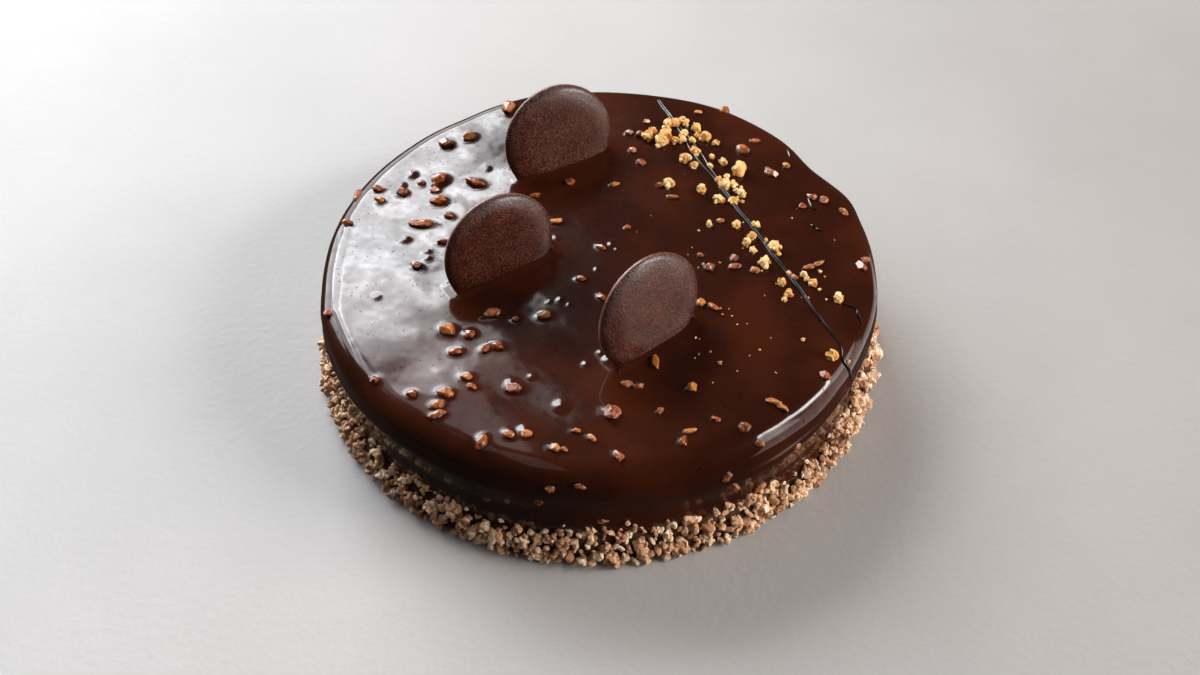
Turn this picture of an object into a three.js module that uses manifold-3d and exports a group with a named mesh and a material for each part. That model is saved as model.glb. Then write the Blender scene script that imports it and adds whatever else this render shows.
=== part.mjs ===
// Round chocolate hazelnut cake: a glazed body with chopped nuts, three chocolate
// discs, a split vanilla pod and a ring of crumble round the foot.
// Millimetres, +Z up, origin at the middle of the underside.

import * as THREE from 'three';
import { mergeVertices } from 'three/addons/utils/BufferGeometryUtils.js';
import Module from 'manifold-3d';

const wasm = await Module();
wasm.setup();

// Glazed body
const rimRadius = 100;
const cakeHeight = 44.3;
const rollWidth = 8.5; // how far in from the side the top starts to roll over
const rollDrop = 7.5; // how far down the side the roll ends
const foldHeight = 30; // mean height of the lower edge of the glaze drape
const foldDepth = 1; // how far the side steps in under the drape
const foldRun = 9; // height over which it steps in
const dripBulge = 0.5; // thickening of the drape just above its edge
const waveHeight = 0.12; // ripples left in the poured top
const clearance = 0.3; // gap between pieces that touch
const sideLevels = [0, 14, 22, 26, 29, 33]; // heights at which the side is shaped
const turns = 64; // facets round the cake

// Places where the poured rim leaves a true circle: degrees, half width, millimetres
const rimBumps = [
  [32, 7, -2.3],
  [19, 4.5, 1.1],
  [61, 9, 0.8],
  [104, 5, 0.8],
  [122, 6, -0.7],
  [-10, 8, 0.5],
  [-168, 5, 0.7],
];

// Chocolate discs: flat behind, domed in front, pressed upright into the top
const discRadius = 21.5;
const discEdge = 1.2;
const discDome = 3;
const discTurns = 28;
const discRows = 5;
const discs = {
  chocolate_disc_back: { x: -14.6, y: 56, pressed: 11.2, yaw: 25, tilt: 16 },
  chocolate_disc_left: { x: -35.4, y: -2, pressed: 12.4, yaw: 31, tilt: 11 },
  chocolate_disc_front: { x: 16.6, y: -37.9, pressed: 8.2, yaw: 39, tilt: 11 },
};

// Vanilla pod: along the right of the top, over the rim and down the side
const podWidth = 1.6;
const podSides = 5;
const podSteps = 46;
const podOnTop = [[25, 88.5], [35, 65], [49, 32], [58.5, 11], [68, -10], [77, -31], [83, -45]];
const podAzimuth = -30.8;
const podFoot = 18;

// Chopped nuts under the glaze: x, y, length, width, direction in degrees
const nutSpots = [
  [-34, 85, 7, 5, 70], [-58, 64, 5.5, 4.5, 0], [-49, 68, 5, 4, 30], [-59, 44, 6, 5, 30],
  [-61, 41, 3, 2.5, 30], [-46, 42, 7.5, 4, -15], [-66, 42, 3, 2, -30], [-82, 39, 4.5, 3, 5],
  [-73, 37, 4.5, 3.5, -10], [-61, 38, 3.5, 2.5, 0], [-59, 32, 6, 4, 5], [-81, 33, 4, 3, -30],
  [-64, 20, 9.5, 3.5, 0], [-55, 24, 4.5, 2.5, -30], [-92, 21, 4.5, 3, -30], [-56, 10, 5, 2.5, 0],
  [-65, -2, 4.5, 3, -30], [-90, 38, 6.5, 3, 85], [-95, -23, 3.5, 3, 0], [-37, -26, 6.5, 3.5, 5],
  [-29, -29, 2.5, 2, 0], [-52, -34, 6, 4.5, -20], [-45, -36, 4, 3.5, 0], [-49, -44, 4.5, 3, 5],
  [-39, -43, 4, 2.5, 40], [-35, -42, 5, 3, -20], [-19, -28, 4.5, 3.5, 0], [-23, 34, 4, 2.5, 0],
  [-15, 20, 5, 3, 0], [-10, 41, 4, 3, -15], [7, 40, 4.5, 2, 20], [11, 16, 2.5, 2, -15],
  [1, 6, 4, 2, -30], [24, 39, 3, 2.5, 0], [28, 32, 5, 2, 0], [1, -19, 4.5, 2.5, -50],
  [-6, -10, 4.5, 2.5, 0], [51, 84, 4, 3.5, 30], [40, 81, 3.5, 2, 0], [20, 76, 3, 2, 15],
  [13, 69, 3.5, 2.5, 15], [17, 68, 3.5, 3, -15], [14, 59, 3, 2.5, 0], [17, 52, 4, 2.5, -45],
  [56, 58, 5.5, 4, 0], [61, 63, 4.5, 2, 0], [66, 45, 6.5, 3.5, -50], [72, 49, 3, 2.5, 0],
  [80, 31, 4.5, 2.5, -30], [84, 29, 3.5, 3, -15], [76, 26, 3, 2.5, 0], [91, 23, 4, 2.5, -60],
  [45, 19, 3, 2, 0], [37, 1, 2.5, 2, 0], [40, -5, 4, 3.5, 50], [49, -1, 3.5, 3, 0],
  [49, -5, 4.5, 2.5, 15], [56, -7, 4.5, 3, -15], [79, -4, 5.5, 2, 30], [75, -6, 4.5, 2.5, 15],
  [70, -11, 3, 2.5, 0], [94, -6, 5, 3, -65], [96, -2, 3.5, 3, 0], [36, -23, 3.5, 3, 10],
  [40, -25, 5, 2.5, -35], [58, -69, 5.5, 2.5, -15], [60, -71, 5.5, 2.5, -55], [76, -57, 4, 3, -50],
  [47, -80, 4.5, 3.5, -15], [38, -76, 3, 2.5, -25], [52, -84, 4, 2.5, -15], [19, -51, 6.5, 3, -85],
  [9, -60, 4, 2.5, -20], [13, -61, 4, 2.5, 5], [31, -62, 4, 3.5, 25], [20, -72, 3, 2.5, 5],
  [4, -73, 8, 5, -50], [-8, -80, 3, 2, 0], [-3, -83, 3.5, 2.5, -40], [29, -81, 5, 2, 20],
  [27, -85, 4.5, 3, 80], [6, -91, 5, 3, -60], [-15, -87, 4, 3, -25], [-12, -88, 2.5, 2, 0],
  [-76, -56, 3.5, 3, 0], [-63, -63, 3.5, 3, 0], [-52, -63, 6, 4, 0], [-54, -68, 5.5, 3.5, 25],
  [-54, -72, 6, 3, 25], [-45, -56, 4, 3, 0], [-43, -60, 3.5, 2, -35], [-29, -61, 5.5, 3.5, 0],
  [-30, -81, 4, 3, -35], [-24, -81, 4, 3, 0], [-39, -84, 6.5, 4, 65],
];

// Nuts in the side: azimuth in degrees, height, size
const sideNutSpots = [
  [-129, 18, 3.4], [-112.5, 24, 3.4], [-99.6, 38, 4], [-94, 40, 4], [-102, 30, 3.4],
  [-89.8, 20.5, 3.6], [-65.4, 33, 5], [-64.2, 25.5, 6.5], [-49, 29.5, 3.8], [-57.3, 17.5, 5.2],
];
const farSideNuts = 11; // spread over the rest of the side
const farSideFrom = -20;
const farSideSweep = 235;
const farSideLow = 19;
const farSideHigh = 35;

// Golden crumbs along the pod: x, y, size
const crumbSpots = [
  [28, 74, 4.5], [31, 74, 4.5], [34, 76, 3], [35, 74, 3.5], [39, 71, 4.5], [22, 70, 3], [20, 66, 5],
  [27, 69, 4.5], [26, 64, 6.5], [30, 64, 3.5], [24, 61, 2.5], [34, 68, 3.5], [33, 64, 4],
  [37, 64, 3], [42, 65, 5], [39, 67, 2.5], [46, 62, 3], [38, 57, 4.5], [37, 60, 1.5],
  [34, 53, 5], [37, 49, 3.5], [44, 54, 2.5], [43, 49, 2.5], [48, 51, 3.5], [54, 46, 6],
  [49, 43, 2.5], [46, 41, 3], [48, 38, 5], [51, 38, 3.5], [52, 35, 2.5], [54, 33, 4],
  [54, 37, 1.5], [39, 36, 4.5], [45, 30, 4.5], [47, 30, 2], [51, 29, 4], [54, 29, 1.5],
  [27, 39, 5], [41, 17, 3], [51, 16, 3.5], [58, 16, 3.5], [56, 10, 4], [54, 7, 4], [56, 3, 3],
  [61, 8, 2], [64, 4, 5.5], [65, 1, 2], [59, -4, 5.5], [68, -9, 2], [73, -10, 3], [74, -12, 2],
  [76, -14, 3.5], [79, -8, 1.5], [78, -17, 1.5], [65, -14, 3.5], [67, -19, 3.5], [65, -22, 2.5],
  [84, -22, 4.5], [80, -22, 1], [70, -41, 1.5], [79, -49, 4.5], [85, -49, 1.5], [41, -51, 1.5],
];

// Small pieces: the smallest that are shaped, how much of its size a crumb's block has,
// how uneven each kind is, how flat, and how far its middle lies above the glaze in sizes
const smallestNut = 3;
const smallestCrumb = 3;
const crumbShare = 0.72;
const nutUneven = 0.2;
const crumbUneven = 0.35;
const nutFlatness = 0.7;
const crumbFlatness = 0.85;
const nutLift = 0.04;
const crumbLift = 0.14;
const sideNutSink = 0.4;
const sideNutStretch = 1.3;
const nutSeed = 11;
const crumbSeed = 23;
const sideNutSeed = 35;

// Crumble ring round the foot
const bandHeight = 13;
const bandProfile = [[3.8, 0], [4.2, 3.4], [3.9, 7], [2.9, 10.2], [0.8, bandHeight]];
const bandInset = 3; // how far the ring's inner wall would lie inside the cake's side
const bandTurns = 112;
const bandRoughness = 2; // difference between its hollows and bumps
const faceChunks = 26;
const edgeChunks = 38;
const chunkSize = 5.6;
const chunkFlatness = 0.9;
const chunkSeed = 77;
const floorGap = 0.2; // lowest point of a chunk above the base plane

const shoulder = cakeHeight - rollDrop;
const goldenAngle = Math.PI * (3 - Math.sqrt(5));
const degToRad = THREE.MathUtils.degToRad;
const smoothstep = THREE.MathUtils.smoothstep;

// Repeatable draws between 0 and 1
function makeDraws(seed) {
  let state = seed;
  return () => {
    state = (state * 16807) % 2147483647;
    return state / 2147483647;
  };
}

function rimOffset(angle) {
  let offset = 0.25 * Math.sin(7 * angle + 1);
  for (const [middle, width, bump] of rimBumps) {
    const turn = angle - degToRad(middle);
    const away = Math.atan2(Math.sin(turn), Math.cos(turn)) / degToRad(width);
    offset += bump * Math.exp(-away * away);
  }
  return offset;
}

// Radius of the side at a height: full above the drape's wavy edge, less below it
function sideRadius(angle, z) {
  const fold = foldHeight + 2.2 * Math.sin(3 * angle + 0.8) + 1.2 * Math.sin(7 * angle);
  const under = 1 - smoothstep(z, fold - foldRun, fold);
  const bulge = Math.exp(-(((z - fold - 2) / 2.5) ** 2));
  return rimRadius + rimOffset(angle) - foldDepth * under + dripBulge * bulge;
}

function topWave(x, y) {
  const long = Math.sin(x / 9 + 1.3 * Math.sin(y / 17)) * Math.sin(y / 11 + 0.6);
  const cross = Math.sin((x + y) / 6.5);
  return waveHeight * (long + 0.5 * cross);
}

// Height of the top at a point, with the roll towards the side
function surfaceHeight(x, y) {
  const angle = Math.atan2(y, x);
  const radius = Math.hypot(x, y) * rimRadius / sideRadius(angle, shoulder);
  const inner = rimRadius - rollWidth;
  if (radius <= inner) {
    return cakeHeight + topWave(x, y);
  }
  const out = Math.min((radius - inner) / rollWidth, 1);
  return shoulder + rollDrop * Math.sqrt(1 - out * out) + topWave(x, y) * (1 - out);
}

// A closed solid from a closed geometry
function toSolid(geometry) {
  const bare = geometry.clone();
  bare.deleteAttribute('normal');
  bare.deleteAttribute('uv');
  const merged = mergeVertices(bare, 1e-4);
  const corners = merged.index.array;
  const kept = [];
  for (let i = 0; i < corners.length; i += 3) {
    const [a, b, c] = corners.slice(i, i + 3);
    if (a !== b && b !== c && c !== a) {
      kept.push(a, b, c);
    }
  }
  return new wasm.Manifold(new wasm.Mesh({
    numProp: 3,
    vertProperties: merged.attributes.position.array,
    triVerts: new Uint32Array(kept),
  }));
}

function toGeometry(solid) {
  const mesh = solid.getMesh();
  const geometry = new THREE.BufferGeometry();
  geometry.setAttribute('position', new THREE.BufferAttribute(mesh.vertProperties, 3));
  geometry.setIndex(new THREE.BufferAttribute(mesh.triVerts, 1));
  geometry.computeVertexNormals();
  return geometry;
}

// A turned shape, axis up, each vertex then moved by a rule
function turned(profile, segments, move) {
  const points = profile.map(([radius, z]) => new THREE.Vector2(radius, z));
  const geometry = new THREE.LatheGeometry(points, segments);
  geometry.rotateX(Math.PI / 2);
  const places = geometry.attributes.position;
  for (let i = 0; i < places.count; i += 1) {
    const moved = move(places.getX(i), places.getY(i), places.getZ(i));
    places.setXYZ(i, ...moved);
  }
  return geometry;
}

// Scales a nominal circle of rimRadius to the side's real outline at that height
function toOutline(x, y, z) {
  const scale = sideRadius(Math.atan2(y, x), Math.min(z, shoulder)) / rimRadius;
  return [x * scale, y * scale, z];
}

function glazeBody() {
  const rollPoints = 4;
  const topRings = 5;
  const inner = rimRadius - rollWidth;
  const profile = [[0, 0]];
  sideLevels.forEach((z) => profile.push([rimRadius, z]));
  for (let i = 0; i <= rollPoints; i += 1) {
    const roll = (Math.PI / 2) * (i / rollPoints);
    profile.push([inner + rollWidth * Math.cos(roll), shoulder + rollDrop * Math.sin(roll)]);
  }
  for (let i = topRings - 1; i >= 0; i -= 1) {
    profile.push([inner * i / topRings, cakeHeight]);
  }
  return toSolid(turned(profile, turns, (x, y, z) => {
    const [outX, outY] = toOutline(x, y, z);
    return [outX, outY, z < shoulder ? z : z + surfaceLift(outX, outY, z)];
  }));
}

// Ripple of the top, fading out down the roll
function surfaceLift(x, y, z) {
  return topWave(x, y) * (z - shoulder) / rollDrop;
}

function nutPlaces() {
  return nutSpots.map(([x, y, long, wide, turn]) => ({ x, y, long, wide, turn: degToRad(turn) }));
}

function crumbPlaces() {
  const draw = makeDraws(crumbSeed);
  return crumbSpots.map(([x, y, size]) => {
    const stretch = 1 + 0.3 * draw();
    return { x, y, long: size * stretch, wide: size / Math.sqrt(stretch), turn: draw() * Math.PI };
  });
}

// Nuts in the side: those that show in front, then the others by the golden angle
function sideNutPlaces() {
  const draw = makeDraws(sideNutSeed);
  const places = sideNutSpots.map(([azimuth, z, size]) => ({ azimuth, z, size }));
  for (let i = 0; i < farSideNuts; i += 1) {
    places.push({
      azimuth: farSideFrom + farSideSweep * ((i * goldenAngle) / (Math.PI * 2) % 1),
      z: farSideLow + (farSideHigh - farSideLow) * draw(),
      size: 3.4 + 1.8 * draw(),
    });
  }
  return places;
}

// A small rough piece, longer along its own X, with its middle at the origin:
// a rounded nut, or a broken crumb with flat faces
function lump(kind, long, wide, tall, draw) {
  const geometry = kind === 'nut'
    ? new THREE.IcosahedronGeometry(0.5, 0)
    : new THREE.BoxGeometry(crumbShare, crumbShare, crumbShare);
  geometry.deleteAttribute('normal');
  geometry.deleteAttribute('uv');
  const merged = mergeVertices(geometry, 1e-4);
  const places = merged.attributes.position;
  const uneven = kind === 'nut' ? nutUneven : crumbUneven;
  for (let i = 0; i < places.count; i += 1) {
    const x = places.getX(i) * (1 + uneven * (2 * draw() - 1));
    const y = places.getY(i) * (1 + uneven * (2 * draw() - 1));
    const z = places.getZ(i) * (1 + uneven * (2 * draw() - 1));
    places.setXYZ(i, x * long, y * wide, z * tall);
  }
  return merged;
}

function podCurve() {
  const lift = clearance + podWidth / 2 + 0.15;
  const points = podOnTop.map(([x, y]) => new THREE.Vector3(x, y, surfaceHeight(x, y) + lift));
  const azimuth = degToRad(podAzimuth);
  const edge = sideRadius(azimuth, shoulder);
  const inner = edge - rollWidth;
  for (const roll of [38, 64]) {
    const out = inner + (rollWidth + lift) * Math.sin(degToRad(roll));
    const z = shoulder + (rollDrop + lift) * Math.cos(degToRad(roll));
    points.push(new THREE.Vector3(out * Math.cos(azimuth), out * Math.sin(azimuth), z));
  }
  for (const z of [shoulder - 1, (shoulder + podFoot) / 2 + 3, podFoot + 4, podFoot]) {
    const out = sideRadius(azimuth, z) + lift;
    points.push(new THREE.Vector3(out * Math.cos(azimuth), out * Math.sin(azimuth), z));
  }
  return new THREE.CatmullRomCurve3(points, false, 'centripetal');
}

function podGeometry(curve, width) {
  const section = new THREE.Shape();
  for (let i = 0; i < podSides; i += 1) {
    const turn = (Math.PI * 2 * i) / podSides;
    const x = (width / 2) * Math.cos(turn);
    const y = (width / 2) * Math.sin(turn);
    if (i === 0) {
      section.moveTo(x, y);
    } else {
      section.lineTo(x, y);
    }
  }
  return new THREE.ExtrudeGeometry(section, {
    steps: podSteps,
    extrudePath: curve,
    bevelEnabled: false,
  });
}

// Moves a piece sideways until it is clear of the pod
function besidePod(piece, podPoints) {
  const reach = podWidth / 2 + piece.long * 0.68 + clearance;
  let nearest = podPoints[0];
  let least = Infinity;
  for (const point of podPoints) {
    const away = Math.hypot(piece.x - point.x, piece.y - point.y);
    if (away < least) {
      least = away;
      nearest = point;
    }
  }
  if (least >= reach) {
    return piece;
  }
  const push = reach / Math.max(least, 0.01);
  return {
    ...piece,
    x: nearest.x + (piece.x - nearest.x) * push,
    y: nearest.y + (piece.y - nearest.y) * push,
  };
}

function topLumps(kind, pieces, lift, flatness, seed, podPoints) {
  const draw = makeDraws(seed + 1);
  return pieces
    .map((piece) => besidePod(piece, podPoints))
    .map((piece) => {
      const geometry = lump(kind, piece.long, piece.wide, piece.wide * flatness, draw);
      geometry.rotateZ(piece.turn);
      const z = surfaceHeight(piece.x, piece.y) + piece.wide * lift;
      geometry.translate(piece.x, piece.y, z);
      return toSolid(geometry);
    });
}

function sideLumps() {
  const draw = makeDraws(sideNutSeed + 1);
  return sideNutPlaces().map(({ azimuth, z, size }) => {
    const turn = degToRad(azimuth);
    const wide = size / Math.sqrt(sideNutStretch);
    const geometry = lump('nut', size * sideNutStretch, wide, size, draw);
    const out = sideRadius(turn, z) - sideNutSink;
    geometry.rotateZ(turn + Math.PI / 2);
    geometry.translate(out * Math.cos(turn), out * Math.sin(turn), z);
    return toSolid(geometry);
  });
}

// Disc with its flat back on the plane y = 0, domed towards -Y, grown all round by a margin
function discGeometry(margin) {
  const radius = discRadius + margin;
  const points = [new THREE.Vector2(0, -margin), new THREE.Vector2(radius - 0.5, -margin)];
  for (let i = 0; i <= discRows; i += 1) {
    const swing = (Math.PI / 2) * (i / discRows);
    const out = i === discRows ? 0 : radius * Math.cos(swing) ** 0.8;
    points.push(new THREE.Vector2(out, discEdge + (discDome + margin) * Math.sin(swing) ** 0.9));
  }
  const geometry = new THREE.LatheGeometry(points, discTurns);
  geometry.rotateX(Math.PI);
  return geometry;
}

function placeDisc(mesh, { x, y, pressed, yaw, tilt }) {
  const lean = degToRad(tilt);
  mesh.position.set(x, y, cakeHeight - pressed + discRadius * Math.cos(lean));
  mesh.rotation.set(-lean, 0, degToRad(yaw), 'ZYX');
  mesh.updateMatrix();
}

// Bumps of crumble: one for each facet, by a rule that repeats after a full turn
function roughen(x, y, z) {
  const [outX, outY] = toOutline(x, y, z);
  const step = Math.round((Math.atan2(y, x) / (Math.PI * 2)) * bandTurns) % bandTurns;
  const draw = makeDraws(1 + Math.round(z * 10) * bandTurns + ((step + bandTurns) % bandTurns));
  draw();
  draw();
  draw();
  const bump = bandRoughness * (draw() - 0.45);
  const scale = 1 + bump / rimRadius;
  const lift = z > 1 ? bandRoughness * (draw() - 0.5) : 0;
  return [outX * scale, outY * scale, z + lift];
}

// Large chunks: evenly round the face, then round the upper edge
function chunkPlaces() {
  const draw = makeDraws(chunkSeed);
  const places = [];
  for (let i = 0; i < faceChunks + edgeChunks; i += 1) {
    const onEdge = i >= faceChunks;
    const row = onEdge ? i - faceChunks : i;
    const step = (Math.PI * 2) / (onEdge ? edgeChunks : faceChunks);
    const azimuth = (row + 0.8 * draw()) * step;
    const size = chunkSize * (0.65 + 0.5 * draw());
    const z = onEdge ? bandHeight - 0.5 + 1.5 * draw() : 2 + (bandHeight - 5) * draw();
    const swell = onEdge ? 1.2 : 3.6 - 0.12 * z;
    const out = sideRadius(azimuth, z) + swell + draw();
    const stretch = 1.1 + 0.3 * draw();
    places.push({ azimuth, size, z, out, stretch, roll: draw() * Math.PI, turn: draw() * Math.PI });
  }
  return places;
}

function crumbleBand() {
  const jitter = makeDraws(chunkSeed + 1);
  const inside = rimRadius - bandInset;
  const profile = [[inside, 0]];
  bandProfile.forEach(([out, z]) => profile.push([rimRadius + out, z]));
  profile.push([inside, bandHeight]);
  profile.push([inside, 0]);
  let band = toSolid(turned(profile, bandTurns, roughen));
  for (const { azimuth, size, z, out, stretch, roll, turn } of chunkPlaces()) {
    const wide = size / Math.sqrt(stretch);
    const geometry = lump('crumb', size * stretch, wide, size * chunkFlatness, jitter);
    geometry.rotateY(roll);
    geometry.rotateZ(turn);
    geometry.translate(out * Math.cos(azimuth), out * Math.sin(azimuth), z);
    const places = geometry.attributes.position;
    for (let k = 0; k < places.count; k += 1) {
      places.setZ(k, Math.max(places.getZ(k), floorGap));
    }
    band = band.add(toSolid(geometry));
  }
  const wall = rimRadius + clearance;
  const keepOut = [[0, -1], [wall, -1]];
  sideLevels.forEach((z) => keepOut.push([wall, z]));
  keepOut.push([0, Math.max(...sideLevels)]);
  return band.subtract(toSolid(turned(keepOut, turns, toOutline)));
}

const glazeMaterial = new THREE.MeshStandardMaterial({ color: 0x3c1a12, roughness: 0.2, metalness: 0 });
const discMaterial = new THREE.MeshStandardMaterial({ color: 0x4b2d26, roughness: 0.6, metalness: 0 });
const podMaterial = new THREE.MeshStandardMaterial({ color: 0x17110f, roughness: 0.35, metalness: 0 });
const crumbleMaterial = new THREE.MeshStandardMaterial({ color: 0xbe9b78, roughness: 0.85, metalness: 0 });

function named(name, geometry, material) {
  const mesh = new THREE.Mesh(geometry, material);
  mesh.name = name;
  return mesh;
}

const group = new THREE.Group();
const pod = podCurve();
const podPoints = pod.getSpacedPoints(podSteps * 2);

const slots = Object.entries(discs).map(([name, place]) => {
  const disc = named(name, discGeometry(0), discMaterial.clone());
  placeDisc(disc, place);
  group.add(disc);
  return toSolid(discGeometry(clearance).applyMatrix4(disc.matrix));
});
const podRoom = toSolid(podGeometry(pod, podWidth + 2 * clearance));
const nuts = nutPlaces().filter((piece) => piece.wide >= smallestNut);
const crumbs = crumbPlaces().filter((piece) => piece.long >= smallestCrumb);
const toppings = [
  ...topLumps('nut', nuts, nutLift, nutFlatness, nutSeed, podPoints),
  ...topLumps('crumb', crumbs, crumbLift, crumbFlatness, crumbSeed, podPoints),
  ...sideLumps(),
];
let cake = glazeBody();
for (const topping of toppings) {
  // A piece that would still cross a disc or the pod is left off
  if ([podRoom, ...slots].every((room) => topping.intersect(room).isEmpty())) {
    cake = cake.add(topping);
  }
}
for (const slot of slots) {
  cake = cake.subtract(slot);
}
group.add(named('glazed_cake', toGeometry(cake), glazeMaterial));
group.add(named('vanilla_pod', podGeometry(pod, podWidth), podMaterial));
group.add(named('crumble_band', toGeometry(crumbleBand()), crumbleMaterial));

export default group;
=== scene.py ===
# Chocolate hazelnut cake: poured glaze with chopped nuts, golden crumbs, three chocolate
# discs, a split vanilla pod and a ring of crumble round the foot.
import math

import bmesh
import bpy
import numpy as np
from mathutils import Matrix, Quaternion, Vector, noise


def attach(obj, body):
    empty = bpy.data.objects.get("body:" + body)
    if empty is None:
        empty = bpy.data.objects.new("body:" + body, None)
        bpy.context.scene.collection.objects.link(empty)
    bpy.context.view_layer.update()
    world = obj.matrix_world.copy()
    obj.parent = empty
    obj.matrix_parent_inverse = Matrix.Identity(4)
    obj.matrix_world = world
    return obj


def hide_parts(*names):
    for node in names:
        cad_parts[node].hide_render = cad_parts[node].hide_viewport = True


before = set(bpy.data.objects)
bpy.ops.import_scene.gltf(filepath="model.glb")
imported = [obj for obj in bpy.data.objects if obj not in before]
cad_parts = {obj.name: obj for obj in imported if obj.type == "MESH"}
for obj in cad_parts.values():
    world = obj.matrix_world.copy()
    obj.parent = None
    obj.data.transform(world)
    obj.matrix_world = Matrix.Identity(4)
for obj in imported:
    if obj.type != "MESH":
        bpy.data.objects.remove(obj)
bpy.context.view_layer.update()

mm = 0.001
goldenAngle = math.pi * (3 - math.sqrt(5))


# Numbers that repeat: draws between 0 and 1, the same as in the solid model

def makeDraws(seed):
    state = [seed]

    def draw():
        state[0] = state[0] * 16807 % 2147483647
        return state[0] / 2147483647

    return draw


# The cake's own shape, in millimetres, as the solid model has it

cake = {
    "rimRadius": 100.0,
    "height": 44.3,
    "rollWidth": 8.5,      # how far in from the side the top starts to roll over
    "rollDrop": 7.5,       # how far down the side the roll ends
    "foldHeight": 30.0,    # mean height of the lower edge of the glaze drape
    "foldDepth": 1.0,
    "foldRun": 9.0,
    "dripBulge": 0.5,
    "waveHeight": 0.12,
    "rimBumps": [          # degrees, half width, millimetres
        (32, 7, -2.3), (19, 4.5, 1.1), (61, 9, 0.8), (104, 5, 0.8),
        (122, 6, -0.7), (-10, 8, 0.5), (-168, 5, 0.7),
    ],
}
shoulder = cake["height"] - cake["rollDrop"]
innerRadius = cake["rimRadius"] - cake["rollWidth"]


def smoothStep(value, low, high):
    share = np.clip((value - low) / (high - low), 0, 1)
    return share * share * (3 - 2 * share)


def rimOffset(angle):
    offset = 0.25 * np.sin(7 * angle + 1)
    for middle, width, bump in cake["rimBumps"]:
        turn = angle - math.radians(middle)
        away = np.arctan2(np.sin(turn), np.cos(turn)) / math.radians(width)
        offset = offset + bump * np.exp(-away * away)
    return offset


def sideRadius(angle, z):
    fold = cake["foldHeight"] + 2.2 * np.sin(3 * angle + 0.8) + 1.2 * np.sin(7 * angle)
    under = 1 - smoothStep(z, fold - cake["foldRun"], fold)
    bulge = np.exp(-(((z - fold - 2) / 2.5) ** 2))
    outline = cake["rimRadius"] + rimOffset(angle)
    return outline - cake["foldDepth"] * under + cake["dripBulge"] * bulge


def topWave(x, y):
    long = np.sin(x / 9 + 1.3 * np.sin(y / 17)) * np.sin(y / 11 + 0.6)
    return cake["waveHeight"] * (long + 0.5 * np.sin((x + y) / 6.5))


def surfaceHeight(x, y):
    radius = np.hypot(x, y) * cake["rimRadius"] / sideRadius(np.arctan2(y, x), shoulder)
    out = np.clip((radius - innerRadius) / cake["rollWidth"], 0, 1)
    return shoulder + cake["rollDrop"] * np.sqrt(1 - out * out) + topWave(x, y) * (1 - out)


# Mesh helpers: shapes are made in millimetres and end in metres

def spinProfile(profile, segments):
    bm = bmesh.new()
    points = [bm.verts.new((radius, 0, z)) for radius, z in profile]
    edges = [bm.edges.new(pair) for pair in zip(points, points[1:])]
    bmesh.ops.spin(bm, geom=points + edges, cent=(0, 0, 0), axis=(0, 0, 1),
                   angle=2 * math.pi, steps=segments, use_merge=True)
    bmesh.ops.remove_doubles(bm, verts=bm.verts, dist=1e-4)
    bmesh.ops.recalc_face_normals(bm, faces=bm.faces)
    return bm


def readPoints(mesh):
    points = np.zeros(len(mesh.vertices) * 3)
    mesh.vertices.foreach_get("co", points)
    return points.reshape(-1, 3)


def toMesh(name, bm, move=None):
    mesh = bpy.data.meshes.new(name)
    bm.to_mesh(mesh)
    bm.free()
    points = readPoints(mesh)
    if move:
        points = move(points)
    mesh.vertices.foreach_set("co", (points * mm).ravel())
    mesh.update()
    return mesh


def roundBall(subdivisions):     # corners and faces of a ball of radius 1
    bm = bmesh.new()
    bmesh.ops.create_icosphere(bm, subdivisions=subdivisions, radius=1.0)
    points = np.array([corner.co[:] for corner in bm.verts])
    faces = np.array([[corner.index for corner in face.verts] for face in bm.faces])
    bm.free()
    return points, faces


def joinLumps(name, lumps):    # each lump has its corners, its faces and its marks
    starts = np.cumsum([0] + [len(lump["points"]) for lump in lumps[:-1]])
    joined = np.concatenate([lump["faces"] + start for lump, start in zip(lumps, starts)])
    points = np.concatenate([lump["points"] for lump in lumps])
    mesh = bpy.data.meshes.new(name)
    mesh.from_pydata((points * mm).tolist(), [], joined.tolist())
    for mark in lumps[0]["marks"]:
        values = [np.broadcast_to(lump["marks"][mark], len(lump["points"])) for lump in lumps]
        attribute = mesh.attributes.new(mark, "FLOAT", "POINT")
        attribute.data.foreach_set("value", np.concatenate(values).astype(np.float32))
    return mesh


def addPiece(mesh, finish, nodes=(), smooth=True):
    if smooth:
        mesh.shade_smooth()
    mesh.materials.append(finish)
    piece = bpy.data.objects.new(mesh.name, mesh)
    bpy.context.scene.collection.objects.link(piece)
    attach(piece, "root")
    if nodes:
        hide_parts(*nodes)
    print("made", mesh.name, len(mesh.polygons), "faces")


def ripples(points, size, shift):   # smooth noise, one value for each point
    return np.array([noise.noise(Vector(point) / size + Vector((shift, 0, 0))) for point in points])


balls = {"coarse": roundBall(2), "middle": roundBall(3), "fine": roundBall(4)}


def turnZ(angle):
    c, s = math.cos(angle), math.sin(angle)
    return np.array([[c, s, 0], [-s, c, 0], [0, 0, 1]])


def turnY(angle):
    c, s = math.cos(angle), math.sin(angle)
    return np.array([[c, 0, -s], [0, 1, 0], [s, 0, c]])


def randomTurn(rng):
    return turnZ(rng.uniform(0, 6.28)) @ turnY(rng.uniform(0, 6.28)) @ turnZ(rng.uniform(0, 6.28))


def directions(rng, count):
    ways = rng.normal(size=(count, 3))
    return ways / np.linalg.norm(ways, axis=1)[:, None]


def chopped(ball, rng, cuts, nearest, furthest):   # a rounded lump with flat cut sides
    shape = ball.copy()
    for way in directions(rng, cuts):
        over = np.maximum(shape @ way - rng.uniform(nearest, furthest), 0)
        shape -= over[:, None] * way
    return shape


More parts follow.
